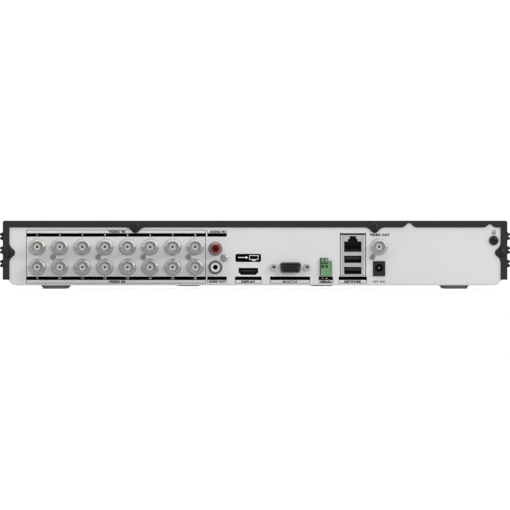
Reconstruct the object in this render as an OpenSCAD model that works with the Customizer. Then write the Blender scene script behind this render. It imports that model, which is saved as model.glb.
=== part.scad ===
// Sixteen-channel video recorder: folded steel case, rear connector panel, moulded front bezel.
// The front faces -Y, the connector panel faces +Y, and the feet stand on z = 0.

/* [Case] */
// Width over the folded cover
case_w = 380; // [378:1:382]
// Height of the case above the feet
case_h = 48.8; // [48.6:0.1:49.6]
// Depth from the bezel's face to the rear panel
case_d = 290; // [286:1:300]
// Height of the feet
foot_h = 2.5; // [2.3:0.1:3]
// Thickness of the steel sheet
sheet = 1; // [0.9:0.1:1.1]
// Width of the cover's frame around the rear panel
flange_w = 5.1; // [5:0.05:5.2]
// Depth of the moulded front bezel
bezel_d = 14; // [13.5:0.1:14.5]

/* [Side louvers] */
// Louvers along each side
louver_bays = 4; // [3:1:4]
// Length of one louver
louver_len = 48; // [40:1:50]
// Gap between the two lips
louver_slit = 0.75; // [0.6:0.05:1]
// How far the lips stand out of the side
louver_reach = 2.5; // [2.2:0.1:2.8]

/* [Camera sockets] */
// Camera sockets in one row
columns = 8; // [8:1:8]
// Distance between two columns
column_pitch = 17; // [17:0.1:17]
// Height of the upper row above the desk
upper_row_z = 31.5; // [31:0.1:32]
// Height of the lower row above the desk
lower_row_z = 16.3; // [16:0.1:17]
// Length of a camera socket outside the panel
bnc_len = 13; // [12:0.1:14]

/* [Front keys] */
// Height of the centre of the navigation keys
keys_z = 27; // [26:0.5:28]
// Distance of the navigation keys from the middle one
key_pitch = 10.5; // [10.4:0.1:11]
// Gap left around each key
key_gap = 0.4; // [0.35:0.05:0.5]
// How far a key stands out of the bezel
key_out = 1.2; // [1:0.1:1.4]

/* [Hidden] */

$fn = 48;
slop = 0.05;                          // clearance between pieces that sit in each other
tiny = 0.01;

// Planes of the case. The camera sockets' tips and the front keys lie equally far from y = 0.
front_y = -(case_d + bnc_len - key_out) / 2;
rear_y = front_y + case_d;            // outer face of the rear panel
panel_y = rear_y - sheet;             // inner face of the rear panel
tray_front_y = front_y + bezel_d;
top_z = foot_h + case_h;
floor_z = foot_h + sheet;
half_w = case_w / 2;
tray_w = case_w - 2 * (flange_w - 0.03);
cover_z = foot_h + 4.3;               // lower edge of the cover's sides
tray_corner = 4;
bend_r = 1.1;                         // outside of the fold between floor and rear panel
tray_top_z = top_z - sheet - 0.3;

// Louvers: heights of the slits, and the radius of each lip's outer curve
louver_z = [19, 29.1, 39.5];
lip_r = 1.15;
lip_blend = 1.3;                      // concave radius between the wall and a lip
louver_pitch = 60;

// Screw tabs on the cover's rear frame, as [x, z], and the two notches as [x, width, height]
tab_r = 3.2;
tab_h = 4.2;
tab_w = 15.5;
top_tabs = [[-90.1, 46.4], [90.1, 46.4]];
side_tabs = [[-tray_w / 2, 27.2], [tray_w / 2, 27.2]];
panel_w = case_w - 2 * sheet - 1;      // of the rear panel, where the cover's frame hides its edge
notches = [[-116.05, 11.8, 3.2], [-176.9, 10, 2.35]];

// Camera sockets
first_column_x = 164;
bnc_barrel_d = 9.6;
bnc_bore_d = 8.1;
bnc_ring_d = 12.6;
bnc_sleeve_d = 9.8;
block_depth = 25;
board_top_z = 9.6;
board_t = 1.6;
video_out = [-93.4, 31.6];
block_screw_x = -3.4;                 // from the middle of each block
block_screw_z = (upper_row_z + lower_row_z) / 2;

// Other sockets, as [x, z] of their middles
rca_red = [29.85, 30.1];
rca_white = [29.85, 16.2];
display = [5.05, 13.1];
monitor = [-26.65, 15.9];
jackscrew_pitch = 24.99;
terminal_x = [-48.95, -54.9, -57.7];
lan = [-73.6, 25.45];
dc_jack = [-93.4, 15.2];
ground = [-179.7, 36.4];

// Inside
board_x = [-106, 176];
board_y = [30, panel_y - 0.5];
board_posts = [[-98, 38], [-98, 100], [30, 38], [168, 38], [168, 104], [-40, 104]];
hdd_size = [147, 101.6, 26.1];
hdd_pos = [8, -122, 7];
hdd_posts = [for (x = [28.5, 104.7], y = [3.2, 98.4]) [x, y]];
disc_at = [94, 50.8];                 // from the drive's corner
arm_at = [33, 27];
foot_d = 16.8;
feet = [for (x = [-151, 151], y = [-112, 112]) [x, y]];

sata_ports = [[-16, 8], [-38, 14]];   // [x, width] of the data and the power socket
sata_port_h = 8;
sata_port_y = 38;
ribbon_x = [-90, -68];

// Front panel, as x of the middle of each thing
power_x = 150;
nav_x = 108;
usb_x = -160;
window_x = [-140, 60];
key_w = 8;
power_d = 14;
key_rim = 0.8;                        // how far the rim behind the bezel reaches out
key_travel = 0.6;
bezel_t = 2.2;
keyboard_y = front_y + 9;             // face of the key board
switch_h = 4.2;

// ---------- shared shapes ----------

function unit(v) = v / norm(v);

// Points of the arc that rounds corner b between a and c
function corner(a, b, c, r, n = 5) =
    let (u = unit(a - b), v = unit(c - b), half = acos(u * v) / 2)
    let (m = b + unit(u + v) * r / sin(half))
    let (p = b + u * r / tan(half), q = b + v * r / tan(half))
    let (a0 = atan2(p[1] - m[1], p[0] - m[0]), a1 = atan2(q[1] - m[1], q[0] - m[0]))
    let (turn = a1 - a0 > 180 ? a1 - a0 - 360 : a1 - a0 < -180 ? a1 - a0 + 360 : a1 - a0)
    arc(m, r, a0, a0 + turn, n);

// n + 1 points on the arc around m from angle a0 to a1
function arc(m, r, a0, a1, n) =
    [for (i = [0:n]) let (a = a0 + (a1 - a0) * i / n) m + r * [cos(a), sin(a)]];

// Outline with every corner rounded to radius r
function rounded(points, r, n = 5) =
    let (k = len(points))
    [for (i = [0:k - 1]) each corner(points[(i + k - 1) % k], points[i], points[(i + 1) % k], r, n)];

function box_points(w, h) = [[-w / 2, -h / 2], [w / 2, -h / 2], [w / 2, h / 2], [-w / 2, h / 2]];

module rounded_box(w, h, r) {
    polygon(rounded(box_points(w, h), r));
}

// Sheet or slab between y and y + t, drawn in X and Z
module upright(y, t) {
    translate([0, y + t, 0]) rotate([90, 0, 0]) linear_extrude(t) children();
}

// Slab between x and x + t, drawn in Y and Z
module sideways(x, t) {
    translate([x, 0, 0]) rotate([90, 0, 90]) linear_extrude(t) children();
}

// Places children at [x, z] of plane y, with their own Z pointing out of the back
module facing_back(at, y) {
    translate([at[0], y, at[1]]) rotate([-90, 0, 0]) children();
}

// Same, pointing out of the front
module facing_front(at, y) {
    translate([at[0], y, at[1]]) rotate([90, 0, 0]) children();
}

module block(x, y, z) {
    translate([x[0], y[0], z[0]]) cube([x[1] - x[0], y[1] - y[0], z[1] - z[0]]);
}

module tube(outer, inner, h) {
    difference() {
        cylinder(d = outer, h = h);
        translate([0, 0, -1]) cylinder(d = inner, h = h + 2);
    }
}

// Pan-head screw with a crosshead, or with one slot: the head's seat is at z = 0
module screw(head_d, head_h, shank_d, shank_len, slotted = false) {
    difference() {
        rotate_extrude() polygon([
            [0, -shank_len], [shank_d / 2 - 0.3, -shank_len], [shank_d / 2, 0.3 - shank_len],
            [shank_d / 2, 0], [head_d / 2, 0], [head_d / 2, head_h * 0.5],
            [head_d * 0.42, head_h * 0.85], [head_d * 0.3, head_h], [0, head_h]
        ]);
        if (slotted) translate([-0.45, -head_d, head_h * 0.4]) cube([0.9, 2 * head_d, head_h]);
        else for (a = [0, 90]) rotate(a)
            translate([-head_d * 0.29, -head_d * 0.07, head_h * 0.35])
                cube([head_d * 0.58, head_d * 0.14, head_h]);
    }
}

// ---------- case ----------

function tray_points(drop, top) = [
    [-tray_w / 2 + drop, top], each corner([-tray_w / 2 + drop, top],
        [-tray_w / 2 + drop, foot_h + drop], [tray_w / 2 - drop, foot_h + drop], tray_corner - drop),
    each corner([-tray_w / 2 + drop, foot_h + drop], [tray_w / 2 - drop, foot_h + drop],
        [tray_w / 2 - drop, top], tray_corner - drop),
    [tray_w / 2 - drop, top]
];

// Openings in the rear panel
module panel_openings() {
    for (c = [0:columns - 1], z = [lower_row_z, upper_row_z])
        translate([first_column_x - c * column_pitch, z]) circle(d = bnc_ring_d + 0.2);
    for (i = [0:3]) translate(block_screw_at(i)) circle(d = 3);
    translate(video_out) circle(d = bnc_ring_d + 0.2);
    translate(video_out_screw) circle(d = 3);
    for (at = [rca_red, rca_white]) translate(at) circle(d = 10.2);
    translate(rca_screw) circle(d = 3.2);
    polygon(display_points(0));
    polygon(monitor_points(0.35));
    for (s = [-1, 1]) translate(monitor + [s * jackscrew_pitch / 2, 0.3]) circle(d = 3.2);
    translate([terminal_x[2] - 0.15, 9.55]) square([8.75 + 0.3, 11.4]);
    translate([terminal_x[1] - 0.15, 9.55]) square([5.95 + 0.3, 13.7]);
    translate(lan - [16.7, 30.3] / 2) square([16.7, 30.3]);
    translate(dc_jack - [9.3, 11.4] / 2) square([9.3, 11.4]);
    translate(ground) circle(d = 4.2);
}

module chassis_tray() {
    color("gainsboro") difference() {
        union() {
            upright(panel_y, sheet) polygon(tray_points(0, tray_top_z));
            upright(panel_y, sheet) translate([-panel_w / 2, cover_z + 1.4])
                square([panel_w, tray_top_z - cover_z - 1.4]);
            upright(tray_front_y, sheet) polygon(tray_points(0, tray_top_z));
            upright(tray_front_y, panel_y + sheet - tray_front_y) difference() {
                polygon(tray_points(0, 14));
                polygon(tray_points(sheet, 15));
            }
            for (x = [-50, 50]) translate([x, 0, 0]) upright(40, 84)
                polygon([[-9, foot_h + tiny], [-7, foot_h - 0.7], [7, foot_h - 0.7], [9, foot_h + tiny],
                         [9, floor_z - tiny], [-9, floor_z - tiny]]);
            for (p = board_posts) translate([p[0], p[1], foot_h])
                cylinder(d = 7, h = board_top_z - board_t - foot_h);
            for (p = hdd_posts) translate([hdd_pos[0] + p[0], hdd_pos[1] + p[1], foot_h])
                cylinder(d = 13, h = hdd_pos[2] - foot_h);
        }
        // stiffening pads are pressed out of the floor, so they are hollow above
        for (x = [-50, 50]) translate([x, 0, 0]) upright(41, 82)
            polygon([[-8, floor_z], [-6.6, floor_z - 0.7], [6.6, floor_z - 0.7], [8, floor_z],
                     [8, floor_z + 1], [-8, floor_z + 1]]);
        for (f = feet) translate([f[0], f[1], 0]) cylinder(d = 5, h = 5);
        for (p = board_posts) translate([p[0], p[1], 0]) cylinder(d = 2.5, h = 20);
        for (p = hdd_posts) translate([hdd_pos[0] + p[0], hdd_pos[1] + p[1], 0]) {
            cylinder(d = 3.9, h = 20);
            cylinder(d = 10.5, h = hdd_pos[2] - 1);
        }
        upright(panel_y - 1, sheet + 2) panel_openings();
        // rounded fold under the rear panel, between its corners
        sideways(-180, 360) polygon(concat(
            [[rear_y + 1, foot_h - 1], [rear_y + 1, foot_h + bend_r]],
            arc([rear_y - bend_r, foot_h + bend_r], bend_r, 0, -90, 6), [[rear_y - bend_r, foot_h - 1]]
        ));
        for (t = concat(top_tabs, side_tabs)) facing_back(t, panel_y - 1)
            cylinder(d = 3.2, h = 3);
        // opening behind the front controls
        upright(tray_front_y - 1, 3) translate([-172, 8]) square([340, 36]);
    }
}

// Bulge of the given width and height on the line y = 0, blended into the line with concave arcs
module bump(w, h, r) {
    c = h - r;
    blend = (w * w / 4 - r * r + c * c) / (2 * h);
    reach = w / 2;
    turn = atan2(c - blend, reach);   // where the blend's arc meets the bulge's
    polygon(concat(
        [[-reach, -0.5]], arc([-reach, blend], blend, -90, turn, 7), arc([0, c], r, 178 + turn, 2 - turn, 16),
        arc([reach, blend], blend, 180 - turn, 270, 7), [[reach, -0.5]]
    ));
}

module rear_frame() {
    inner_z = top_z - flange_w;
    difference() {
        union() {
            difference() {
                polygon(cover_points(0));
                translate([-tray_w / 2, 0]) square([tray_w, inner_z]);
            }
            for (t = top_tabs) translate([t[0], inner_z]) mirror([0, 1])
                bump(tab_w, tab_h, tab_r);
            for (t = side_tabs) translate(t) rotate(t[0] > 0 ? 90 : -90) bump(tab_w, tab_h, tab_r);
        }
        for (n = notches) translate([n[0], inner_z]) bump(n[1], n[2], n[2] * 0.85);
    }
}

function cover_points(drop) = let (x = half_w - drop, z = top_z - drop) [
    [-x, cover_z], [x, cover_z], each corner([x, cover_z], [x, z], [-x, z], 1.5 - drop * 0.9),
    each corner([x, z], [-x, z], [-x, cover_z], 1.5 - drop * 0.9)
];

// Centre of the rounded lip above a slit, and of the concave blend between it and the wall
lip_at = [louver_reach - lip_r, louver_slit / 2 + lip_r];
blend_at = [lip_blend, lip_at[1] + sqrt(pow(lip_blend + lip_r, 2) - pow(lip_at[0] - lip_blend, 2))];
louver_step = blend_at[1];

// Outline of the lip above a slit, from the depth back behind the wall's face
module lip(back) {
    turn = atan2(blend_at[1] - lip_at[1], blend_at[0] - lip_at[0]);
    polygon(concat(
        [[-back, louver_slit / 2], [-back, louver_step + tiny], [0, louver_step + tiny]],
        arc(blend_at, lip_blend, 180, 180 + turn, 6), arc(lip_at, lip_r, turn - 5, -90, 10)
    ));
}

// Section of one side wall's louvers: folded lips above and below each slit
module lips() {
    for (z = louver_z, s = [-1, 1]) translate([0, z]) flip(s) difference() {
        lip(sheet);
        offset(delta = -0.8) lip(sheet + 3);
    }
}

// Turns its children upside down when s is -1
module flip(s) {
    if (s > 0) children();
    else mirror([0, 1]) children();
}

module louver_ends() {
    for (z = louver_z) translate([0, z]) {
        for (s = [-1, 1]) flip(s) lip(sheet);
        translate([-sheet, -louver_slit]) square([sheet + lip_at[0] - 0.3, 2 * louver_slit]);
    }
}

module louvers() {
    start = -(louver_bays - 1) * louver_pitch / 2 - louver_len / 2;
    for (i = [0:louver_bays - 1]) translate([half_w, start + i * louver_pitch, 0]) {
        upright(0, louver_len) lips();
        for (y = [0, louver_len - sheet]) upright(y, sheet) louver_ends();
    }
}

module top_cover() {
    start = -(louver_bays - 1) * louver_pitch / 2 - louver_len / 2;
    cover_front_y = front_y + bezel_d;
    color([0.2, 0.2, 0.21]) {
        difference() {
            union() {
                upright(cover_front_y, rear_y - cover_front_y) difference() {
                    polygon(cover_points(0));
                    polygon([for (p = cover_points(sheet)) [p[0], p[1] < cover_z + 1 ? 0 : p[1]]]);
                }
                upright(rear_y, sheet) rear_frame();
                for (s = [0, 1]) mirror([s, 0, 0]) block([tray_w / 2 + 0.3, half_w - sheet / 2],
                    [cover_front_y, panel_y - 0.3], [cover_z, cover_z + sheet]);
            }
            for (s = [0, 1], i = [0:louver_bays - 1], z = louver_z) mirror([s, 0, 0])
                translate([half_w - sheet - 1, start + i * louver_pitch, z - louver_step])
                    cube([sheet + 2, louver_len, 2 * louver_step]);
            for (t = concat(top_tabs, side_tabs)) facing_back(t, rear_y - 1)
                cylinder(d = 3.6, h = 3);
        }
        for (s = [0, 1]) mirror([s, 0, 0]) louvers();
    }
}

module cover_screws() {
    color([0.1, 0.1, 0.1]) for (t = concat(top_tabs, side_tabs))
        facing_back(t, rear_y + sheet) screw(6.6, 1.8, 2.9, 7, true);
}

// Moulded feet, each with a stem that snaps into the floor
module foot_pads() {
    color([0.4, 0.4, 0.4]) for (f = feet) translate([f[0], f[1], 0]) {
        cylinder(d1 = foot_d, d2 = foot_d + 0.6, h = 0.3);
        translate([0, 0, 0.3 - tiny]) cylinder(d1 = foot_d + 0.6, d2 = 20.9, h = foot_h - 0.3 + tiny);
        cylinder(d = 4.9, h = floor_z + slop);
        translate([0, 0, floor_z]) cylinder(d1 = 6.4, d2 = 5, h = 0.8);
    }
}

module ground_screw() {
    color([0.1, 0.1, 0.1]) {
        facing_back(ground, rear_y) tube(7.2, 4.1, 0.7);
        facing_back(ground, rear_y + 0.7) screw(6.4, 2.2, 3.9, 8);
    }
}

// ---------- front ----------

// Places of the enter, up, down, left and right keys around the middle of the group
key_offsets = [[0, 0], [0, 1], [0, -1], [-1, 0], [1, 0]] * key_pitch;

function bezel_points(drop) =
    let (x = half_w - drop, top = top_z - drop, low = foot_h + drop, side_z = low + 4.5, foot_x = x - 6)
    [
        each corner([foot_x, low], [x, side_z], [x, top], 2),
        each corner([x, side_z], [x, top], [-x, top], 3 - drop),
        each corner([x, top], [-x, top], [-x, side_z], 3 - drop),
        each corner([-x, top], [-x, side_z], [-foot_x, low], 2),
        [drop * 0.3 - foot_x, low], [foot_x - drop * 0.3, low]
    ];

module key_outline(i, grow) {
    if (i == 0) circle(d = key_w + 2 * grow);
    else rounded_box(key_w + 2 * grow, key_w + 2 * grow, 1.6 + grow);
}

module front_bezel() {
    color([0.13, 0.13, 0.14]) difference() {
        union() {
            upright(front_y + 1.2, bezel_d - 1.2) polygon(bezel_points(0));
            upright(front_y, 1.3) polygon(bezel_points(1));
        }
        upright(front_y + bezel_t, bezel_d) polygon(bezel_points(1.8));
        upright(front_y - 1, bezel_t + 2) {
            for (i = [0:4]) translate([nav_x, keys_z] + key_offsets[i]) key_outline(i, key_gap);
            translate([power_x, keys_z]) circle(d = power_d + 2 * key_gap);
            translate([usb_x, keys_z]) rounded_box(14.2, 6.6, 0.6);
            translate([(window_x[0] + window_x[1]) / 2, keys_z])
                rounded_box(window_x[1] - window_x[0] - 4, 20, 2);
        }
        upright(front_y - 1, 1 + 1.2) translate([(window_x[0] + window_x[1]) / 2, keys_z])
            rounded_box(window_x[1] - window_x[0] + 0.1, 24.1, 3);
    }
}

module bezel_window() {
    color([0.05, 0.05, 0.06]) translate([(window_x[0] + window_x[1]) / 2, 0, keys_z]) {
        upright(front_y + 0.2, 1) rounded_box(window_x[1] - window_x[0], 24, 3);
        upright(front_y + 1.2 - tiny, 1) rounded_box(window_x[1] - window_x[0] - 4.2, 19.8, 2);
    }
}

// Stem from a key's rim to just above its switch
module key_stem() {
    stem_y = front_y + bezel_t + 1.2;
    facing_back([0, 0], stem_y) cylinder(d = 3, h = keyboard_y - switch_h - stem_y);
}

// Key cap with a rim inside the bezel that stops it from falling out
module key(i) {
    color([0.2, 0.2, 0.21]) translate([nav_x, 0, keys_z] + [key_offsets[i][0], 0, key_offsets[i][1]]) {
        upright(front_y - key_out, bezel_t + key_out + 0.5) key_outline(i, 0);
        upright(front_y + bezel_t + 0.3, 1) key_outline(i, key_rim);
        key_stem();
    }
}

module power_button() {
    color([0.2, 0.2, 0.21]) translate([power_x, 0, keys_z]) {
        upright(front_y - key_out, bezel_t + key_out + 0.5) circle(d = power_d);
        upright(front_y + bezel_t + 0.3, 1) circle(d = power_d + 2 * key_rim);
        key_stem();
    }
}

module key_board() {
    color("darkgreen") difference() {
        block([usb_x - 11, power_x + 14], [keyboard_y, keyboard_y + board_t], [12, 43]);
        for (x = [usb_x - 7, -40, 60, power_x + 10]) facing_back([x, 15], keyboard_y - 1)
            cylinder(d = 3, h = 4);
    }
}

module tact_switches() {
    color("black") {
        for (at = concat([for (k = key_offsets) [nav_x, keys_z] + k], [[power_x, keys_z]])) {
            upright(keyboard_y - 3, 3) translate(at) square(6, center = true);
            facing_front(at, keyboard_y - 3 + tiny) cylinder(d = 3.4, h = switch_h - 3 - key_travel - 0.3);
        }
    }
}

module status_leds() {
    color("palegreen") for (i = [0:2]) facing_front([-118 + i * 14, keys_z], keyboard_y) {
        cylinder(d = 3.8, h = 0.8);
        cylinder(d = 3, h = 3.4);
        translate([0, 0, 3.4]) sphere(d = 3);
    }
}

module ir_receiver() {
    color([0.1, 0.08, 0.1]) translate([30, 0, keys_z]) {
        upright(keyboard_y - 3, 3) square([6, 7], center = true);
        translate([0, keyboard_y - 3, 0]) sphere(d = 5);
    }
}

module front_usb() {
    color("silver") translate([usb_x, 0, keys_z]) {
        upright(front_y + 0.6, keyboard_y - front_y - 0.6) difference() {
            rounded_box(13.9, 6.3, 0.5);
            square([13.1, 5.5], center = true);
        }
        upright(keyboard_y - 1.2, 1.2) square([13.4, 5.8], center = true);
        upright(front_y + 1.6, keyboard_y - front_y - 2) translate([0, 1.1])
            square([11.2, 1.7], center = true);
    }
}

module ribbon_cable() {
    drop_y = keyboard_y + board_t;
    run_z = floor_z + 0.8;
    rise_y = board_y[0] - 5;
    plug_y = board_y[0] + 5;
    over_z = board_top_z + 7;
    color("lightgrey") sideways(ribbon_x[0], ribbon_x[1] - ribbon_x[0]) {
        translate([drop_y, 16]) square([2.5, 6]);
        polygon([
            [drop_y + 2.4, 18.6], [drop_y + 6, 18.6], [drop_y + 6, run_z + 1], [rise_y, run_z + 1],
            [rise_y, over_z + 1], [plug_y + 1, over_z + 1], [plug_y + 1, board_top_z + 5],
            [plug_y, board_top_z + 5], [plug_y, over_z], [rise_y + 1, over_z], [rise_y + 1, run_z],
            [drop_y + 5, run_z], [drop_y + 5, 17.6], [drop_y + 2.4, 17.6]
        ]);
    }
}

// ---------- camera sockets ----------

function block_x(i) = first_column_x - column_pitch * (2 * i + 0.5);
function block_screw_at(i) = [block_x(i) + block_screw_x, block_screw_z];
video_out_screw = [-88.4, 23.9];
rca_screw = [23, 23.3];

module bnc_housing(i) {
    color([0.12, 0.12, 0.12]) difference() {
        block([block_x(i) - 16.7, block_x(i) + 16.7], [panel_y - block_depth, panel_y - slop],
              [board_top_z, upper_row_z + 7.4]);
        for (s = [-0.5, 0.5], z = [lower_row_z, upper_row_z])
            facing_back([block_x(i) + s * column_pitch, z], panel_y - block_depth - 1)
                cylinder(d = bnc_sleeve_d + 2 * slop, h = block_depth + 2);
        facing_back(block_screw_at(i), panel_y - 12) cylinder(d = 2.5, h = 13);
    }
}

// Metal shell of one socket, turned about its own axis, with two bayonet studs
module bnc_shell() {
    tip = sheet + bnc_len;
    rotate_extrude() polygon([
        [2.5, -18], [bnc_sleeve_d / 2, -18], [bnc_sleeve_d / 2, slop], [bnc_ring_d / 2, slop],
        [bnc_ring_d / 2, sheet + 0.5], [bnc_ring_d / 2 - 0.2, sheet + 0.7], [bnc_barrel_d / 2, sheet + 1.3],
        [bnc_barrel_d / 2, tip - 0.5], [bnc_barrel_d / 2 - 0.35, tip], [bnc_bore_d / 2 + 0.15, tip],
        [bnc_bore_d / 2, tip - 0.3], [bnc_bore_d / 2, tip - 5.6], [2.5, tip - 5.6]
    ]);
    for (s = [0, 180]) rotate([0, 0, s]) translate([bnc_bore_d / 2 + 0.3, 0, tip - 5])
        rotate([0, 90, 0]) cylinder(d = 2, h = 5.6 - bnc_bore_d / 2 - 0.3);
}

module bnc_shells(i) {
    color("silver") for (s = [0.5, -0.5], z = [lower_row_z, upper_row_z])
        facing_back([block_x(i) + s * column_pitch, z], panel_y) bnc_shell();
}

bnc_places = [video_out, for (c = [0:columns - 1], z = [lower_row_z, upper_row_z])
    [first_column_x - c * column_pitch, z]];

module bnc_insulators() {
    color("ivory") for (at = bnc_places) facing_back(at, panel_y - 18) {
        tube(5 - 2 * slop, 2.3, 18 + sheet + bnc_len - 2.5);
        // flange on the bottom of the bore
        translate([0, 0, 18 + sheet + bnc_len - 5.6 + slop]) tube(bnc_bore_d - 2 * slop, 2.3, 0.8);
    }
}

module bnc_contacts() {
    color("goldenrod") for (at = bnc_places) facing_back(at, panel_y - 20) difference() {
        cylinder(d = 2.2, h = 20 + sheet + bnc_len - 3.5);
        translate([0, 0, 20]) cylinder(d = 1.4, h = 20);
    }
}

module connector_screws() {
    color("dimgrey") {
        for (i = [0:3]) facing_back(block_screw_at(i), rear_y) screw(4.2, 1.5, 2.4, 9);
        facing_back(video_out_screw, rear_y) screw(4.2, 1.5, 2.4, 9);
    }
}

module video_out_housing() {
    color([0.12, 0.12, 0.12]) difference() {
        union() {
            block([-102, -85], [panel_y - block_depth, panel_y - slop], [21.4, video_out[1] + 7.4]);
            block([-102, -85], [panel_y - block_depth, panel_y - 16], [board_top_z, 22]);
        }
        facing_back(video_out, panel_y - block_depth - 1)
            cylinder(d = bnc_sleeve_d + 2 * slop, h = block_depth + 2);
        facing_back(video_out_screw, panel_y - 12) cylinder(d = 2.5, h = 13);
    }
}

module video_out_shell() {
    color("silver") facing_back(video_out, panel_y) bnc_shell();
}

// ---------- audio sockets ----------

rca_len = 9;
rca_barrel_d = 8.3;

module rca_housing() {
    color([0.12, 0.12, 0.12]) difference() {
        union() {
            block([20.2, 35.6], [panel_y - 22, panel_y - slop], [board_top_z, 37]);
            for (at = [rca_red, rca_white]) facing_back(at, panel_y - 1) cylinder(d = 10, h = 2 + sheet);
        }
        for (at = [rca_red, rca_white]) facing_back(at, panel_y - 23) cylinder(d = 9.3, h = 26);
        facing_back(rca_screw, panel_y - 12) cylinder(d = 2.5, h = 13);
    }
}

module rca_shell(at) {
    facing_back(at, panel_y) rotate_extrude() polygon([
        [3.5, -12], [4.6, -12], [4.6, sheet + 1.1], [4.4, sheet + 1.3],
        [rca_barrel_d / 2, sheet + 1.3], [rca_barrel_d / 2, sheet + rca_len - 0.4],
        [rca_barrel_d / 2 - 0.3, sheet + rca_len], [3.5, sheet + rca_len]
    ]);
}

module audio_in_shell() {
    color("silver") rca_shell(rca_red);
}

module audio_out_shell() {
    color("dimgrey") rca_shell(rca_white);
}

// Insulator of one audio socket, with a bore of the given depth for the plug's pin
module rca_insulator(at, bore) {
    tip = 12 + sheet + rca_len - 0.6;
    facing_back(at, panel_y - 12) difference() {
        cylinder(d = 7 - 2 * slop, h = tip);
        translate([0, 0, tip - bore]) cylinder(d = 3.9, h = bore + 1);
    }
}

module audio_in_insulator() {
    color("firebrick") rca_insulator(rca_red, 4);
}

module audio_out_insulator() {
    color("white") rca_insulator(rca_white, 16);
}

module audio_screw() {
    color("silver") facing_back(rca_screw, rear_y) screw(5.6, 1.8, 2.4, 9);
}

// ---------- display and monitor sockets ----------

display_w = 14.8;
display_h = 5.3;

function display_points(grow) = let (w = display_w / 2 + grow, h = display_h / 2 + grow) [
    display + [-w, h], display + [w, h], display + [w, -0.75 * h + 1.1], display + [w - 1.95, -h],
    display + [1.95 - w, -h], display + [-w, -0.75 * h + 1.1]
];

module display_shell() {
    color("silver") {
        upright(panel_y - 11, 10.9) difference() {
            polygon(display_points(0.35));
            polygon(display_points(0));
        }
        upright(panel_y - 11.4, 0.5) polygon(display_points(0.35));
        for (s = [-1, 1]) translate([display[0] + s * 6.8, 0, 0])
            block([-0.6, 0.6], [panel_y - 8, panel_y - 6], [board_top_z, display[1] - 2.3]);
    }
}

module display_tongue() {
    color([0.06, 0.06, 0.06]) {
        upright(panel_y - 10.9, 10.6) difference() {
            polygon(display_points(-slop));
            polygon(display_points(-0.35));
        }
        upright(panel_y - 10.9, 2) polygon(display_points(-slop));
        upright(panel_y - 9, 8) translate(display + [0, 0.35]) square([10.6, 1.3], center = true);
    }
}

monitor_w = 15.9;
monitor_h = 7.5;
monitor_wall = 0.4;

function monitor_points(grow) = let (w = monitor_w / 2 + grow, h = monitor_h / 2 + grow)
    [for (p = rounded([[-w, h], [1 - w, -h], [w - 1, -h], [w, h]], 1.7 + grow)) monitor + p];

module monitor_shell() {
    color("silver") {
        upright(panel_y - 0.95, 0.85 + sheet + 5.9) difference() {
            polygon(monitor_points(0));
            polygon(monitor_points(-monitor_wall));
        }
        upright(panel_y - 0.9, 0.8) difference() {
            translate(monitor) rounded_box(31, 12.4, 1.5);
            polygon(monitor_points(-monitor_wall));
            for (s = [-1, 1]) translate(monitor + [s * jackscrew_pitch / 2, 0.3]) circle(d = 3);
        }
    }
}

module monitor_insulator() {
    color([0.08, 0.08, 0.09]) difference() {
        union() {
            upright(panel_y - 1.1, 1 + sheet + 5.2) polygon(monitor_points(-monitor_wall - slop));
            upright(panel_y - 9, 8) translate(monitor) square([30, 12.2], center = true);
        }
        for (row = [-1:1], i = [-2:2]) {
            shift = row == 0 ? 0.57 : -0.57;   // the middle row sits half a pitch aside
            facing_back(monitor + [i * 2.29 + shift, row * 1.98], panel_y - 3) cylinder(d = 1.5, h = 20);
        }
        for (s = [-1, 1]) facing_back(monitor + [s * jackscrew_pitch / 2, 0.3], panel_y - 10)
            cylinder(d = 3, h = 12);
    }
}

// Hexagon jackscrews; each has a threaded hole for the plug's thumbscrew
module jackscrews() {
    color("silver") for (s = [-1, 1]) facing_back(monitor + [s * jackscrew_pitch / 2, 0.3], rear_y)
        difference() {
            union() {
                cylinder(d = 4.8 / cos(30), h = 4.8, $fn = 6);
                translate([0, 0, -sheet - 8]) cylinder(d = 2.9, h = sheet + 8 + tiny);
            }
            translate([0, 0, 0.6]) cylinder(d = 2.4, h = 20);
            translate([0, 0, 4.5]) cylinder(d1 = 2.4, d2 = 3.1, h = 0.31);
        }
}

// ---------- terminal, network and power ----------

terminal_y = rear_y + 2.4;
lever_x = [for (s = [0, 1]) terminal_x[0] - 0.95 - 2.8 * s];
lever_w = 2.1;
lever_z = [19.9, 23.1];

module terminal_housing() {
    color([0.39, 0.58, 0.36]) difference() {
        union() {
            block([terminal_x[1], terminal_x[0]], [panel_y - 9, terminal_y], [board_top_z, 22.2]);
            block([terminal_x[2], terminal_x[1] + tiny], [panel_y - 9, terminal_y - 0.6],
                  [board_top_z, 20.8]);
        }
        for (x = lever_x) {
            block([x - lever_w - 0.3, x + 0.3], [terminal_y - 2.7, terminal_y + 1], [lever_z[0] - 1.25, 30]);
            block([x - lever_w / 2 - 0.95, x - lever_w / 2 + 0.95], [terminal_y - 4.5, terminal_y + 1],
                  [15.6, 18.1]);
        }
        // narrow gaps between the plug and its header
        block([terminal_x[0] - 0.6, terminal_x[0] - 0.1], [terminal_y - 2.7, terminal_y + 1], [9.4, 30]);
        block([terminal_x[2] + 0.35, terminal_x[2] + 0.7], [terminal_y - 1.7, terminal_y + 1], [9.4, 30]);
    }
}

module terminal_lever(i) {
    color([0.2, 0.36, 0.2]) block([lever_x[i] - lever_w, lever_x[i]],
        [terminal_y - 2.4, terminal_y + 0.6], lever_z);
}

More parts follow.
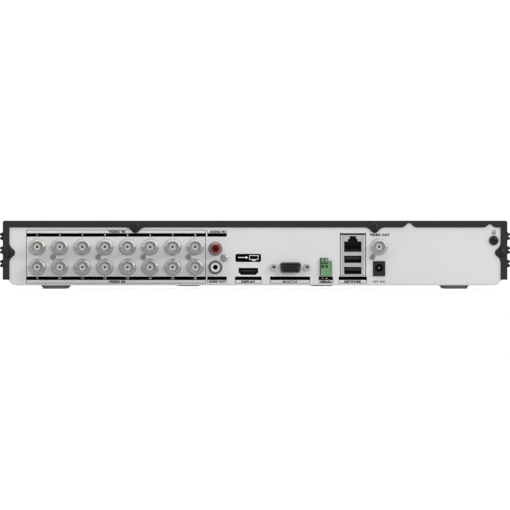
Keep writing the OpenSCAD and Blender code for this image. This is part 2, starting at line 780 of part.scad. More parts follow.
rj45 = [[6.5, 2.35], [6.5, 10.15], [3.7, 10.15], [3.7, 12.1], [2.4, 12.1], [2.4, 14.25]];
rj45_points = concat(rj45, [for (i = [5:-1:0]) [-rj45[i][0], rj45[i][1]]]);
usb_openings = [[-5.95, -0.55], [-14.45, -9]];
cage_depth = 27;

module cage_openings(grow) {
    translate(lan) offset(delta = grow) polygon(rj45_points);
    for (z = usb_openings) translate(lan + [-6.5 - grow, z[0] - grow])
        square([13 + 2 * grow, z[1] - z[0] + 2 * grow]);
}

module lan_usb_cage() {
    color([0.83, 0.82, 0.81]) {
        upright(panel_y - cage_depth, cage_depth + sheet + 0.2) difference() {
            translate(lan) square([16.5, 30.1], center = true);
            translate(lan) square([15.7, 29.3], center = true);
        }
        upright(rear_y - 0.2, 0.4) difference() {
            translate(lan) square([16.4, 30], center = true);
            cage_openings(0);
        }
    }
}

module lan_usb_inserts() {
    back_y = panel_y - cage_depth + 0.5;
    tongue_y = back_y + 11.9;
    color([0.07, 0.07, 0.07]) {
        upright(back_y, rear_y - 0.25 - back_y) difference() {
            translate(lan) square([15.6, 29.2], center = true);
            cage_openings(0.02);
        }
        upright(back_y, 12) translate(lan) square([15.6, 29.2], center = true);
        upright(tongue_y, rear_y - 4 - tongue_y) translate(lan + [0, 3.6]) square([11.4, 1.6], center = true);
        for (z = usb_openings) upright(tongue_y, rear_y - 1.2 - tongue_y)
            translate(lan + [0, z[1] - 1.75]) square([11.2, 1.7], center = true);
    }
}

module dc_jack_housing() {
    color([0.1, 0.1, 0.1]) difference() {
        block([dc_jack[0] - 4.55, dc_jack[0] + 4.55], [panel_y - 14, rear_y + 0.9], [9.6, 20.75]);
        facing_back([dc_jack[0], 15.7], panel_y - 9) cylinder(d = 6.1, h = 20);
        facing_back([dc_jack[0], 15.7], panel_y - 13) cylinder(d = 2, h = 20);
    }
}

module dc_jack_pin() {
    color("silver") facing_back([dc_jack[0], 15.7], panel_y - 13) {
        cylinder(d = 1.9, h = 12);
        translate([0, 0, 12]) sphere(d = 1.9);
    }
}

// ---------- main board ----------

module main_board() {
    color([0.05, 0.3, 0.15]) difference() {
        block(board_x, board_y, [board_top_z - board_t, board_top_z]);
        for (p = board_posts) translate([p[0], p[1], 0]) cylinder(d = 3.2, h = 20);
    }
}

processor = [0, 78];

// Rows of chips, capacitors and connectors: [x, y, width, depth, height]
chips = [
    [processor[0], processor[1], 27, 27, 1.6], [-34, 70, 10, 14, 1.1], [-34, 90, 10, 14, 1.1],
    [34, 70, 10, 14, 1.1], [34, 90, 10, 14, 1.1], [-62, 92, 14, 14, 1.3], [-84, 70, 12, 10, 8],
    [-84, 52, 12, 10, 8], [14, 44, 9, 6, 1.6], [46, 44, 9, 6, 1.6]
];

module board_components() {
    color([0.1, 0.1, 0.1]) {
        for (c = chips) translate([c[0] - c[2] / 2, c[1] - c[3] / 2, board_top_z]) cube([c[2], c[3], c[4]]);
        for (i = [0:3]) translate([block_x(i) - 7, 88, board_top_z]) cube([14, 14, 1.2]);
        for (i = [0:7]) translate([first_column_x - i * column_pitch - 3, 72, board_top_z]) cube([6, 5, 1.5]);
        for (i = [0:4]) translate([-60 + i * 12, 52, board_top_z]) cylinder(d = 6.3, h = 7.7);
        for (p = sata_ports) translate([p[0], sata_port_y, board_top_z]) cube([p[1], 6, sata_port_h]);
        block(ribbon_x, [board_y[0] + 3, board_y[0] + 8], [board_top_z, board_top_z + 5]);
        translate([68, 58, board_top_z]) {
            cylinder(d = 22, h = 1.4);
            translate([0, 0, 1.4 - tiny]) cylinder(d = 20, h = 3.2);
        }
    }
}

module heat_sink() {
    base_z = board_top_z + 1.6;
    color("silver") translate([processor[0], processor[1], base_z]) {
        translate([-20, -20, 0]) cube([40, 40, 3]);
        for (i = [0:8]) translate([-20 + i * 4.8, -20, 2.9]) cube([1.6, 40, 12]);
    }
}

// ---------- disk drive ----------

hdd_cavity_z = 9;                     // floor of the disc chamber above the drive's bottom
hdd_lid_z = hdd_size[2] - 1.2;
disc_d = 94;
cavity_d = 97;
spindle_d = 6;
pivot_d = 5;
running = 0.05;                       // radial clearance on the spindle and the pivot

module at_drive(x, y, z) {
    translate([hdd_pos[0] + x, hdd_pos[1] + y, hdd_pos[2] + z]) children();
}

module chamber(h) {
    intersection() {
        union() {
            translate([disc_at[0], disc_at[1], 0]) cylinder(d = cavity_d, h = h, $fn = 96);
            translate([6, 6, 0]) cube([62, hdd_size[1] - 12, h]);
        }
        translate([6, 2, 0]) cube([hdd_size[0] - 8, hdd_size[1] - 4, h]);
    }
}

module hdd_base() {
    color("lightgrey") difference() {
        at_drive(0, 0, 0) cube([hdd_size[0], hdd_size[1], hdd_lid_z]);
        at_drive(0, 0, hdd_cavity_z) chamber(hdd_size[2]);
        at_drive(8, 8, -1) cube([60, hdd_size[1] - 16, 5]);
        at_drive(-1, 14, -1) cube([12, 62, 6]);
        for (p = hdd_posts) at_drive(p[0], p[1], -1) cylinder(d = 3.3, h = 7);
    }
    color("lightgrey") {
        at_drive(disc_at[0], disc_at[1], hdd_cavity_z - 1) cylinder(d = spindle_d, h = 12);
        at_drive(arm_at[0], arm_at[1], hdd_cavity_z - 1) cylinder(d = pivot_d, h = 12);
    }
}

module hdd_cover() {
    color("silver") at_drive(0, 0, hdd_lid_z) difference() {
        linear_extrude(1.2) translate([hdd_size[0] / 2, hdd_size[1] / 2])
            rounded_box(hdd_size[0] - 1, hdd_size[1] - 1, 3);
        for (x = [5, hdd_size[0] / 2 + 8, hdd_size[0] - 5], y = [4, hdd_size[1] - 4])
            translate([x, y, 0.6]) cylinder(d = 5, h = 2);
    }
}

// Two discs on the motor's hub
module hdd_platters() {
    color("silver") at_drive(disc_at[0], disc_at[1], hdd_cavity_z) difference() {
        union() {
            for (z = [3, 9]) translate([0, 0, z]) cylinder(d = disc_d, h = 1.3, $fn = 96);
            translate([0, 0, 0.4]) cylinder(d = 26, h = 13);
        }
        translate([0, 0, -1]) cylinder(d = spindle_d + 2 * running, h = 12.6);
    }
}

// Arm between and over the discs, with its coil behind the pivot
module hdd_arm() {
    reach = norm(disc_at - arm_at) - 15;
    aim = atan2(disc_at[1] - arm_at[1], disc_at[0] - arm_at[0]);
    color("gainsboro") at_drive(arm_at[0], arm_at[1], hdd_cavity_z) difference() {
        union() {
            translate([0, 0, 0.5]) cylinder(d = 14, h = 12.8);
            rotate(aim - 40) {
                for (z = [1.2, 6.1, 11.6]) translate([0, 0, z]) linear_extrude(1)
                    polygon([[0, -6], [reach, -2], [reach, 2], [0, 6]]);
                translate([-17, -10, 3]) cube([13, 20, 4]);
            }
        }
        translate([0, 0, -1]) cylinder(d = pivot_d + 2 * running, h = 12.6);
    }
}

module hdd_board() {
    color([0.05, 0.2, 0.35]) {
        at_drive(10, 10, 0.4) cube([56, hdd_size[1] - 20, 1.4]);
        at_drive(12, 40, 1.8 - tiny) cube([14, 14, 1.5]);
        at_drive(0.5, 18, 0.4) cube([10, 50, 4.5]);
    }
}

// Screws of the main board and of the disk drive
module inner_screws() {
    color("silver") {
        for (p = board_posts) translate([p[0], p[1], board_top_z]) screw(5.6, 2, 2.4, 5.5);
        for (p = hdd_posts) at_drive(p[0], p[1], -1) rotate([180, 0, 0]) screw(8, 2.2, 3.2, 6.5);
    }
}

// Data and power cables from the drive's end to the main board
module sata_cables() {
    low = hdd_pos[2] + 2;
    high = board_top_z + sata_port_h;
    color("crimson") for (i = [0, 1]) {
        x = [sata_ports[i][0], sata_ports[i][0] + sata_ports[i][1]];
        y = hdd_pos[1] + 20 + i * 22;
        w = sata_ports[i][1];
        block([hdd_pos[0] - 12, hdd_pos[0] + 0.4], [y, y + w], [low - 1.5, low + 2.8]);
        block([x[0], hdd_pos[0] - 11.9], [y, y + w], [low, low + 2]);
        block(x, [y, y + 2], [low, high + 2]);
        block(x, [y, sata_port_y + 6], [high, high + 2]);
    }
}

chassis_tray();
top_cover();
cover_screws();
foot_pads();
front_bezel();
bezel_window();
ground_screw();
power_button();
key(1);  // up_key
key(2);  // down_key
key(3);  // left_key
key(4);  // right_key
key(0);  // enter_key
key_board();
tact_switches();
status_leds();
ir_receiver();
front_usb();
ribbon_cable();
bnc_housing(0);  // bnc_housing_1
bnc_housing(1);  // bnc_housing_2
bnc_housing(2);  // bnc_housing_3
bnc_housing(3);  // bnc_housing_4
bnc_shells(0);  // bnc_shells_1
bnc_shells(1);  // bnc_shells_2
bnc_shells(2);  // bnc_shells_3
bnc_shells(3);  // bnc_shells_4
bnc_insulators();
bnc_contacts();
connector_screws();
video_out_housing();
video_out_shell();
rca_housing();
audio_in_shell();
audio_out_shell();
audio_screw();
audio_in_insulator();
audio_out_insulator();
display_shell();
display_tongue();
monitor_shell();
monitor_insulator();
jackscrews();
terminal_housing();
terminal_lever(0);  // terminal_lever_1
terminal_lever(1);  // terminal_lever_2
lan_usb_cage();
lan_usb_inserts();
dc_jack_housing();
dc_jack_pin();
main_board();
board_components();
heat_sink();
inner_screws();
hdd_base();
hdd_cover();
hdd_platters();
hdd_arm();
hdd_board();
sata_cables();
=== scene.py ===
"""Looks of the sixteen-channel video recorder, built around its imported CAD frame.

Lengths in the helper calls are millimetres in the CAD frame. The front faces -Y and the connector panel +Y.
"""
import math

import bmesh
import bpy
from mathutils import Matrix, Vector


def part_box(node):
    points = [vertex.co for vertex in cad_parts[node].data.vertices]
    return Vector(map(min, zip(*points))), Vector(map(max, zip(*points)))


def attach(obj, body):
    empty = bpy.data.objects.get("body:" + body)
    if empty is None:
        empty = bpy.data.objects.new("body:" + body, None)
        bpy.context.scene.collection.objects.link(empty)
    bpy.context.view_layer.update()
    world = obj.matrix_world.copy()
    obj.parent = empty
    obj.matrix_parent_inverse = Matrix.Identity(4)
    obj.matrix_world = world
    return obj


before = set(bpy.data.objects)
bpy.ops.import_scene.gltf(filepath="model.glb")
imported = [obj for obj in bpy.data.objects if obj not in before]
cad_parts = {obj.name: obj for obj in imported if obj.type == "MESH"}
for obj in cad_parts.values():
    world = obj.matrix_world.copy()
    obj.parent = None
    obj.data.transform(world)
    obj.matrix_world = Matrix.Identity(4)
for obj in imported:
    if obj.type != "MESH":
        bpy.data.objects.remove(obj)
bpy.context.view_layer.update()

MM = 0.001
CASE = "case"
scene = bpy.context.scene


def node_box(name):
    """Lowest and highest corner of a node's box."""
    low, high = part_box(name)
    return [c / MM for c in low], [c / MM for c in high]


def seat(name):
    """Centre of a node's box in X and Z, and the Y of its face towards the sockets' side."""
    low, high = node_box(name)
    return (low[0] + high[0]) / 2, (low[2] + high[2]) / 2, high[1]


PANEL_Y = node_box("chassis_tray")[1][1]  # outer face of the rear panel
FRONT_Y = node_box("front_bezel")[0][1]  # face of the bezel
KEY_Y = node_box("enter_key")[0][1]  # face of the keys
WINDOW_Y = node_box("bezel_window")[0][1]
INK = 0.05  # how far printing stands on its surface
WHITE_INK = 0.09  # printing on top of printing

COLUMNS = [164 - 17 * i for i in range(8)]  # middles of the camera sockets' columns


# ---------- camera ----------

CAMERA_AWAY = 15.0  # metres, as the two values below
VIEW_WIDTH = 0.38403
VIEW_X, VIEW_Z = 0.00003, 0.02545
camera_data = bpy.data.cameras.new("camera")
camera = bpy.data.objects.new("camera", camera_data)
scene.collection.objects.link(camera)
camera.location = (VIEW_X, PANEL_Y * MM + CAMERA_AWAY, VIEW_Z)
camera.rotation_euler = (math.radians(90), 0, math.radians(180))
camera_data.sensor_width = 36
camera_data.lens = 36 * CAMERA_AWAY / VIEW_WIDTH
camera_data.clip_end = 100
scene.camera = camera
scene.view_settings.view_transform = "Standard"
scene.view_settings.look = "None"


# ---------- materials ----------


def new_material(name):
    material = bpy.data.materials.new(name)
    material.use_nodes = True
    nodes = material.node_tree.nodes
    nodes.clear()
    shader = nodes.new("ShaderNodeBsdfPrincipled")
    output = nodes.new("ShaderNodeOutputMaterial")
    material.node_tree.links.new(shader.outputs["BSDF"], output.inputs["Surface"])
    return material, nodes, material.node_tree.links, shader


def noise(nodes, links, coordinates, scale, detail=3.0, stretch=(1, 1, 1)):
    mapping = nodes.new("ShaderNodeMapping")
    mapping.inputs["Scale"].default_value = stretch
    links.new(coordinates, mapping.inputs["Vector"])
    texture = nodes.new("ShaderNodeTexNoise")
    texture.inputs["Scale"].default_value = scale
    texture.inputs["Detail"].default_value = detail
    links.new(mapping.outputs["Vector"], texture.inputs["Vector"])
    return texture.outputs["Fac"]


def spread(nodes, links, source, low, high, start=0.3, end=0.7):
    node = nodes.new("ShaderNodeMapRange")
    node.inputs["From Min"].default_value = start
    node.inputs["From Max"].default_value = end
    node.inputs["To Min"].default_value = low
    node.inputs["To Max"].default_value = high
    links.new(source, node.inputs["Value"])
    return node.outputs["Result"]


def math_node(nodes, links, operation, *values):
    """Output of a math node on the values, each a number or another node's output."""
    node = nodes.new("ShaderNodeMath")
    node.operation = operation
    for socket, value in zip(node.inputs, values):
        if isinstance(value, (int, float)):
            socket.default_value = value
        else:
            links.new(value, socket)
    return node.outputs[0]


FINE_SHARE = 0.35  # how much of a colour's variation comes from the fine grain


def surface(name, dark, light, rough, metallic=0.0, specular=0.5, coat=0.0, patch=40, grain=0.0,
            grain_scale=1500, stretch=(1, 1, 1), glow=0.0, seen_glow=0.0):
    """A procedural material: colour between dark and light in soft patches, roughness between the two values
    of rough, and a fine relief of the given depth in millimetres. seen_glow is the glow that is seen, where
    that is more than the light that falls on the pieces around it."""
    material, nodes, links, shader = new_material(name)
    coordinates = nodes.new("ShaderNodeTexCoord").outputs["Object"]
    fine = noise(nodes, links, coordinates, grain_scale, 4.0, stretch)
    broad = noise(nodes, links, coordinates, patch, 5.0)
    scaled = math_node(nodes, links, "MULTIPLY", broad, 1 - FINE_SHARE)
    blend = math_node(nodes, links, "MULTIPLY_ADD", fine, FINE_SHARE, scaled)
    share = spread(nodes, links, blend, 0, 1, 0.35, 0.65)
    mix = nodes.new("ShaderNodeMix")
    mix.data_type = "RGBA"
    links.new(share, mix.inputs["Factor"])
    mix.inputs["A"].default_value = (*dark, 1)
    mix.inputs["B"].default_value = (*light, 1)
    links.new(mix.outputs["Result"], shader.inputs["Base Color"])
    links.new(spread(nodes, links, broad, *rough), shader.inputs["Roughness"])
    shader.inputs["Metallic"].default_value = metallic
    shader.inputs["Specular IOR Level"].default_value = specular
    shader.inputs["Coat Weight"].default_value = coat
    if glow:
        shader.inputs["Emission Color"].default_value = (*light, 1)
        shader.inputs["Emission Strength"].default_value = glow
    if seen_glow:
        # the glow that is seen is the same from every angle, and stronger than the light it gives the pieces
        seen = nodes.new("ShaderNodeLightPath").outputs["Is Camera Ray"]
        strength = math_node(nodes, links, "MULTIPLY_ADD", seen, seen_glow - glow, glow)
        links.new(strength, shader.inputs["Emission Strength"])
    if grain:
        bump = nodes.new("ShaderNodeBump")
        bump.inputs["Strength"].default_value = 0.6
        bump.inputs["Distance"].default_value = grain * MM
        links.new(fine, bump.inputs["Height"])
        links.new(bump.outputs["Normal"], shader.inputs["Normal"])
    return material


def grey(value, tint=(1, 1, 1)):
    return tuple(value * t for t in tint)


WARM = (1.0, 0.985, 0.96)
MATERIALS = {
    "light_paint": surface("light_powder_coat", grey(0.60), grey(0.63), (0.44, 0.5), grain=0.012,
                           grain_scale=2600, specular=0.4, patch=25),
    "dark_paint": surface("dark_powder_coat", grey(0.0190), grey(0.0205), (0.6, 0.64), grain=0.03,
                          grain_scale=2200, specular=0.25, patch=25),
    "black_steel": surface("black_oxide", grey(0.014), grey(0.026), (0.3, 0.42), metallic=0.5, specular=0.5,
                           patch=600, grain=0.006),
    "nickel": surface("nickel_plating", grey(0.53, WARM), grey(0.60, WARM), (0.46, 0.56), metallic=1.0,
                      patch=260, grain=0.004, grain_scale=3000),
    "steel": surface("zinc_plating", grey(0.42), grey(0.56), (0.3, 0.42), metallic=1.0, patch=500,
                     grain=0.006, grain_scale=3000),
    "dark_steel": surface("dark_zinc_plating", grey(0.32), grey(0.43), (0.3, 0.42), metallic=1.0, patch=700,
                          grain=0.006, grain_scale=3000),
    "black_nickel": surface("black_nickel_plating", grey(0.22), grey(0.31), (0.3, 0.42), metallic=1.0,
                            patch=500, grain=0.004, grain_scale=3000),
    # painted reflection: this nickel is tinted pink to stand for the red insulator reflected in the shell of
    # the red audio socket
    "tinted_nickel": surface("nickel_with_painted_red_reflection", (0.50, 0.34, 0.34), (0.56, 0.39, 0.39), (0.26, 0.36),
                             metallic=1.0, patch=260, grain=0.004, grain_scale=3000),
    "warm_steel": surface("tin_plating", grey(0.66, (1, 0.97, 0.95)), grey(0.74, (1, 0.975, 0.96)),
                          (0.3, 0.42), metallic=1.0, patch=300, grain=0.004),
    "brass": surface("gold_plated_brass", (0.20, 0.15, 0.07), (0.27, 0.21, 0.11), (0.35, 0.45),
                     metallic=1.0, patch=700, grain=0.003),
    "alloy": surface("satin_alloy", grey(0.60), grey(0.68), (0.38, 0.5), metallic=1.0, patch=120,
                     grain=0.01, stretch=(0.1, 1, 1)),
    "disc": surface("polished_disc", grey(0.78), grey(0.82), (0.05, 0.09), metallic=1.0, patch=60),
    "bezel_black": surface("textured_bezel", grey(0.020), grey(0.026), (0.42, 0.56), grain=0.025,
                           grain_scale=1800, specular=0.45),
    "smoked": surface("smoked_window", grey(0.010), grey(0.013), (0.04, 0.07), specular=0.6, coat=0.6,
                      patch=20),
    "key_grey": surface("satin_keys", grey(0.075), grey(0.09), (0.34, 0.44), grain=0.01, specular=0.5),
    "black_plastic": surface("black_moulding", grey(0.013), grey(0.019), (0.4, 0.55), specular=0.3,
                             grain=0.012, patch=300, grain_scale=2400),
    "grey_plastic": surface("grey_moulding", grey(0.018), grey(0.024, WARM), (0.45, 0.55), specular=0.35,
                            patch=400, grain=0.008),
    "insulator": surface("socket_insulator", grey(0.50, WARM), grey(0.58, WARM), (0.35, 0.5), patch=500,
                         grain=0.006),
    "red_plastic": surface("red_insulator", (0.12, 0.002, 0.003), (0.15, 0.003, 0.004), (0.7, 0.8),
                           specular=0.65, patch=500, grain=0.004),
    "white_plastic": surface("white_insulator", grey(0.60), grey(0.68), (0.3, 0.42), patch=500, grain=0.004),
    "green_plastic": surface("green_terminal", (0.125, 0.25, 0.12), (0.15, 0.285, 0.145), (0.4, 0.52),
                             patch=300, grain=0.012),
    "lever_green": surface("grey_green_lever", (0.13, 0.19, 0.13), (0.16, 0.23, 0.16), (0.35, 0.48),
                           patch=300, grain=0.01),
    "board_green": surface("green_solder_mask", (0.012, 0.085, 0.03), (0.02, 0.12, 0.045), (0.3, 0.42),
                           coat=0.3, patch=400),
    "board_blue": surface("blue_solder_mask", (0.014, 0.045, 0.12), (0.02, 0.06, 0.16), (0.3, 0.42),
                          coat=0.3, patch=400),
    "led": surface("diffused_led", (0.30, 0.62, 0.32), (0.42, 0.78, 0.44), (0.2, 0.3), glow=0.6, patch=900),
    "cable_red": surface("red_cable_sheath", (0.36, 0.02, 0.02), (0.46, 0.03, 0.03), (0.4, 0.52), patch=200,
                         grain=0.01),
    "cable_grey": surface("ribbon_sheath", grey(0.38), grey(0.5), (0.42, 0.55), patch=200, grain=0.02,
                          grain_scale=400, stretch=(4, 0.05, 0.05)),
    "rubber": surface("foot_rubber", grey(0.38), grey(0.44), (0.7, 0.85), specular=0.25, patch=300,
                      grain=0.03),
}
BLACK_INK_AND_SHADOW = surface("black_ink_and_painted_shadow", grey(0.001), grey(0.0015), (0.8, 0.9), specular=0.0, patch=200)
WHITE_INK_PAINT = surface("white_ink", grey(0.72), grey(0.80), (0.5, 0.6), specular=0.3, patch=200)
GREY_INK = surface("grey_ink", grey(0.30), grey(0.36), (0.5, 0.6), specular=0.3, patch=200)

for name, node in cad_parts.items():
    for slot in node.material_slots:
        key = slot.material.name.split(".")[0] if slot.material else ""
        if key not in MATERIALS:
            raise SystemExit(f"node {name} has no material for slot {key!r}")
        slot.material = MATERIALS[key]


# ---------- pieces ----------


def piece(name, mesh, material, body):
    obj = bpy.data.objects.new(name, mesh)
    scene.collection.objects.link(obj)
    mesh.materials.append(material)
    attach(obj, body)
    return obj


def finish_mesh(name, shape, material, body, smooth=False):
    mesh = bpy.data.meshes.new(name)
    bmesh.ops.recalc_face_normals(shape, faces=shape.faces)
    shape.to_mesh(mesh)
    shape.free()
    if smooth:
        mesh.polygons.foreach_set("use_smooth", [True] * len(mesh.polygons))
        mesh.set_sharp_from_angle(angle=math.radians(35))
    return piece(name, mesh, material, body)


def prism(shape, points, y0, y1):
    """Slab between two Y planes with an outline in X and Z."""
    low = [shape.verts.new((x * MM, y0 * MM, z * MM)) for x, z in points]
    high = [shape.verts.new((x * MM, y1 * MM, z * MM)) for x, z in points]
    shape.faces.new(low)
    shape.faces.new(high[::-1])
    for i in range(len(points)):
        j = (i + 1) % len(points)
        shape.faces.new((low[i], high[i], high[j], low[j]))


def bar(shape, x0, x1, z0, z1, y0=None, y1=None):
    y0 = PANEL_Y if y0 is None else y0
    prism(shape, [(x0, z0), (x1, z0), (x1, z1), (x0, z1)], y0, y0 + INK if y1 is None else y1)


def rounded(x0, x1, z0, z1, radius, steps=6):
    points = []
    for cx, cz, start in ((x1 - radius, z1 - radius, 0), (x0 + radius, z1 - radius, 90),
                          (x0 + radius, z0 + radius, 180), (x1 - radius, z0 + radius, 270)):
        for i in range(steps + 1):
            a = math.radians(start + 90 * i / steps)
            points.append((cx + radius * math.cos(a), cz + radius * math.sin(a)))
    return points


FULL_TURN = 359.9  # leaves a hairline, so that the outline doesn't touch itself


def ring_points(cx, cz, outer, inner, start, end, steps=28):
    """Outline of a ring's sector, from start to end degrees."""
    angles = [math.radians(start + (end - start) * i / steps) for i in range(steps + 1)]
    out = [(cx + outer * math.cos(a), cz + outer * math.sin(a)) for a in angles]
    back = [(cx + inner * math.cos(a), cz + inner * math.sin(a)) for a in reversed(angles)]
    return out + back


def lettering(shape, text, centre_x, z0, z1, y0, y1, width=None, bold=0.0):
    """Raised text between heights z0 and z1 that is read from +Y."""
    curve = bpy.data.curves.new("text", "FONT")
    curve.body = text
    curve.align_x = "CENTER"
    curve.extrude = 0.1
    curve.offset = bold
    curve.resolution_u = 3
    curve.space_character = 1.2
    obj = bpy.data.objects.new("text", curve)
    scene.collection.objects.link(obj)
    bpy.context.view_layer.update()
    evaluated = obj.evaluated_get(bpy.context.evaluated_depsgraph_get())
    mesh = bpy.data.meshes.new_from_object(evaluated)
    xs = [v.co.x for v in mesh.vertices]
    ys = [v.co.y for v in mesh.vertices]
    x_low, x_high, y_low, y_high = min(xs), max(xs), min(ys), max(ys)
    scale_z = (z1 - z0) / (y_high - y_low)
    scale_x = scale_z if width is None else width / (x_high - x_low)
    for v in mesh.vertices:
        x = centre_x - (v.co.x - (x_low + x_high) / 2) * scale_x
        z = z0 + (v.co.y - y_low) * scale_z
        y = y1 if v.co.z > 0 else y0
        v.co = (x * MM, y * MM, z * MM)
    shape.from_mesh(mesh)
    bmesh.ops.remove_doubles(shape, verts=shape.verts, dist=1e-7)
    bpy.data.objects.remove(obj)
    bpy.data.curves.remove(curve)
    bpy.data.meshes.remove(mesh)


# Heights of the printed bars and labels, and the thickness of a printed line
BAR_TOP = (39.26, 41.88)
BAR_LOW = (6.58, 9.22)
LABEL_TOP = (42.0, 44.0)
LABEL_LOW = (4.45, 6.3)
LINE = 0.36
FRAME_TOP = 44.24
FRAME_LOW = 4.3
VIDEO_X = (37.3, 172.1)

black = bmesh.new()
# the camera sockets' frame and their two bars
for x in VIDEO_X:
    bar(black, x - LINE / 2, x + LINE / 2, FRAME_LOW, FRAME_TOP)
for z in (FRAME_LOW, FRAME_TOP):
    bar(black, VIDEO_X[0] - LINE / 2, VIDEO_X[1] + LINE / 2, z - LINE / 2, z + LINE / 2)
for z0, z1 in (BAR_TOP, BAR_LOW):
    bar(black, 37.0, 172.2, z0, z1)
    bar(black, 21.3, 35.95, z0, z1)
for x in (21.6, 35.75):
    bar(black, x - LINE / 2, x + LINE / 2, BAR_TOP[1], FRAME_TOP)
    bar(black, x - LINE / 2, x + LINE / 2, FRAME_LOW, BAR_LOW[0])
# bars with a label box under each of the other sockets
for x0, x1 in ((-4.9, 15.1), (-41.5, -11.3), (-58.7, -47.9), (-84.2, -63.0)):
    bar(black, x0, x1, *BAR_LOW)
    for x in (x0 + 0.25, x1 - 0.25):
        bar(black, x - LINE / 2, x + LINE / 2, FRAME_LOW, BAR_LOW[0])
    bar(black, x0 + 0.1, x1 - 0.1, FRAME_LOW - LINE / 2, FRAME_LOW + LINE / 2)
# printed lines around the network socket, and a painted shadow line under its cage
bar(black, -83.5, -64.0, 40.65, 41.85)
for x in (-64.25, -83.25):
    bar(black, x - 0.28, x + 0.28, 9.6, 42.2)
# painted shadow: this dark line under the cage stands for the shade beneath it, in the same black as the
# printing
bar(black, -83.4, -64.1, 9.6, 9.9)
prism(black, rounded(-4.5, 14.75, 20.2, 26.35, 1.3), PANEL_Y, PANEL_Y + INK)
# earth symbol in a circle over the earth screw
EARTH_X, EARTH_Z = -179.8, 42.4
prism(black, ring_points(EARTH_X, EARTH_Z, 1.75, 1.4, 0, FULL_TURN, 40), PANEL_Y, PANEL_Y + INK)
bar(black, EARTH_X - 0.2, EARTH_X + 0.2, EARTH_Z, EARTH_Z + 1.4)
for i, half in enumerate((1.05, 0.7, 0.35)):
    low = EARTH_Z - 0.3 - i * 0.55
    bar(black, EARTH_X - half, EARTH_X + half, low, low + 0.35)
finish_mesh("panel_printing_and_painted_shadow", black, BLACK_INK_AND_SHADOW, CASE)

letters = bmesh.new()
for text, x, (z0, z1), width in (
    ("VIDEO IN", 104.1, LABEL_TOP, 12.4),
    ("VIDEO IN", 104.1, LABEL_LOW, 12.4),
    ("AUDIO IN", 28.4, LABEL_TOP, 11.4),
    ("AUDIO OUT", 28.7, LABEL_LOW, 12.6),
    ("DISPLAY", 5.1, LABEL_LOW, 10.6),
    ("MONITOR", -26.4, LABEL_LOW, 11.0),
    ("SERIAL", -53.3, LABEL_LOW, 8.6),
    ("NETWORK", -73.6, LABEL_LOW, 12.8),
    ("VIDEO OUT", -93.8, (39.6, 41.6), 15.0),
):
    bold = 0.02 if "M" in text else 0.07  # an M folds over itself when it is thickened
    lettering(letters, text, x, z0, z1, PANEL_Y, PANEL_Y + INK, width, bold)
lettering(letters, "12V DC", -93.4, 4.6, 6.2, PANEL_Y, PANEL_Y + INK, 9.2, bold=0.04)
finish_mesh("panel_lettering", letters, BLACK_INK_AND_SHADOW, CASE)

white = bmesh.new()
for i, x in enumerate(COLUMNS):
    for number, z in ((i + 1, sum(BAR_TOP) / 2), (i + 9, sum(BAR_LOW) / 2)):
        lettering(white, str(number), x, z - 0.75, z + 0.75, PANEL_Y + INK, PANEL_Y + WHITE_INK, bold=0.01)
# generic screen pictogram on the badge: a screen, its stand and an arrow that points into it
y0, y1 = PANEL_Y + INK, PANEL_Y + WHITE_INK
for x0, x1, z0, z1 in ((-2.6, 4.4, 24.9, 25.3), (-2.6, 4.4, 21.9, 22.3), (-2.6, -2.2, 22.3, 24.9),
                       (4.0, 4.4, 22.3, 24.9), (0.4, 1.4, 21.4, 21.9), (-0.6, 2.4, 21.0, 21.4),
                       (7.0, 12.8, 23.35, 23.85)):
    bar(white, x0, x1, z0, z1, y0, y1)
prism(white, [(5.2, 23.6), (7.0, 24.7), (7.0, 22.5)], y0, y1)
for x in (-50.85, -53.85):
    bar(white, x - 0.5, x + 0.5, 7.75, 8.15, y0, y1)
finish_mesh("panel_numbers", white, WHITE_INK_PAINT, CASE)


def join_rings(shape, rings):
    """Wall of faces through rings of vertices, one after the other."""
    for one, two in zip(rings, rings[1:]):
        for k, vertex in enumerate(one):
            after = (k + 1) % len(one)
            shape.faces.new((vertex, one[after], two[after], two[k]))


def tube_piece(name, paths, radius, slot, sides=8):
    """Round wires of the case along the given paths, in one mesh."""
    shape = bmesh.new()
    for path in paths:
        rings = []
        for i, point in enumerate(path):
            before, after = path[max(i - 1, 0)], path[min(i + 1, len(path) - 1)]
            d = [b - a for a, b in zip(before, after)]
            length = math.sqrt(sum(c * c for c in d))
            d = [c / length for c in d]
            u = (1.0, 0.0, 0.0)
            v = (d[1] * u[2] - d[2] * u[1], d[2] * u[0] - d[0] * u[2], d[0] * u[1] - d[1] * u[0])
            rings.append([shape.verts.new([
                (p + radius * (math.cos(a) * uu + math.sin(a) * vv)) * MM for p, uu, vv in zip(point, u, v)
            ]) for a in [2 * math.pi * k / sides for k in range(sides)]])
        join_rings(shape, rings)
        shape.faces.new(rings[0])
        shape.faces.new(rings[-1][::-1])
    return finish_mesh(name, shape, MATERIALS[slot], CASE, smooth=True)


# Spring contacts of the network socket
lan_x, lan_z, _ = seat("lan_usb_cage")
CONTACT_PITCH, CONTACT_RADIUS = 1.02, 0.2
CONTACT_BEND = ((3.2, 2.9), (2.9, 3.3), (3.3, 3.9), (5.5, 4.9), (8.5, 6.2), (11, 6.9))  # depth and height
tube_piece("network_contacts", [
    [(lan_x + (i - 3.5) * CONTACT_PITCH, PANEL_Y - depth, lan_z + height) for depth, height in CONTACT_BEND]
    for i in range(8)], CONTACT_RADIUS, "brass")

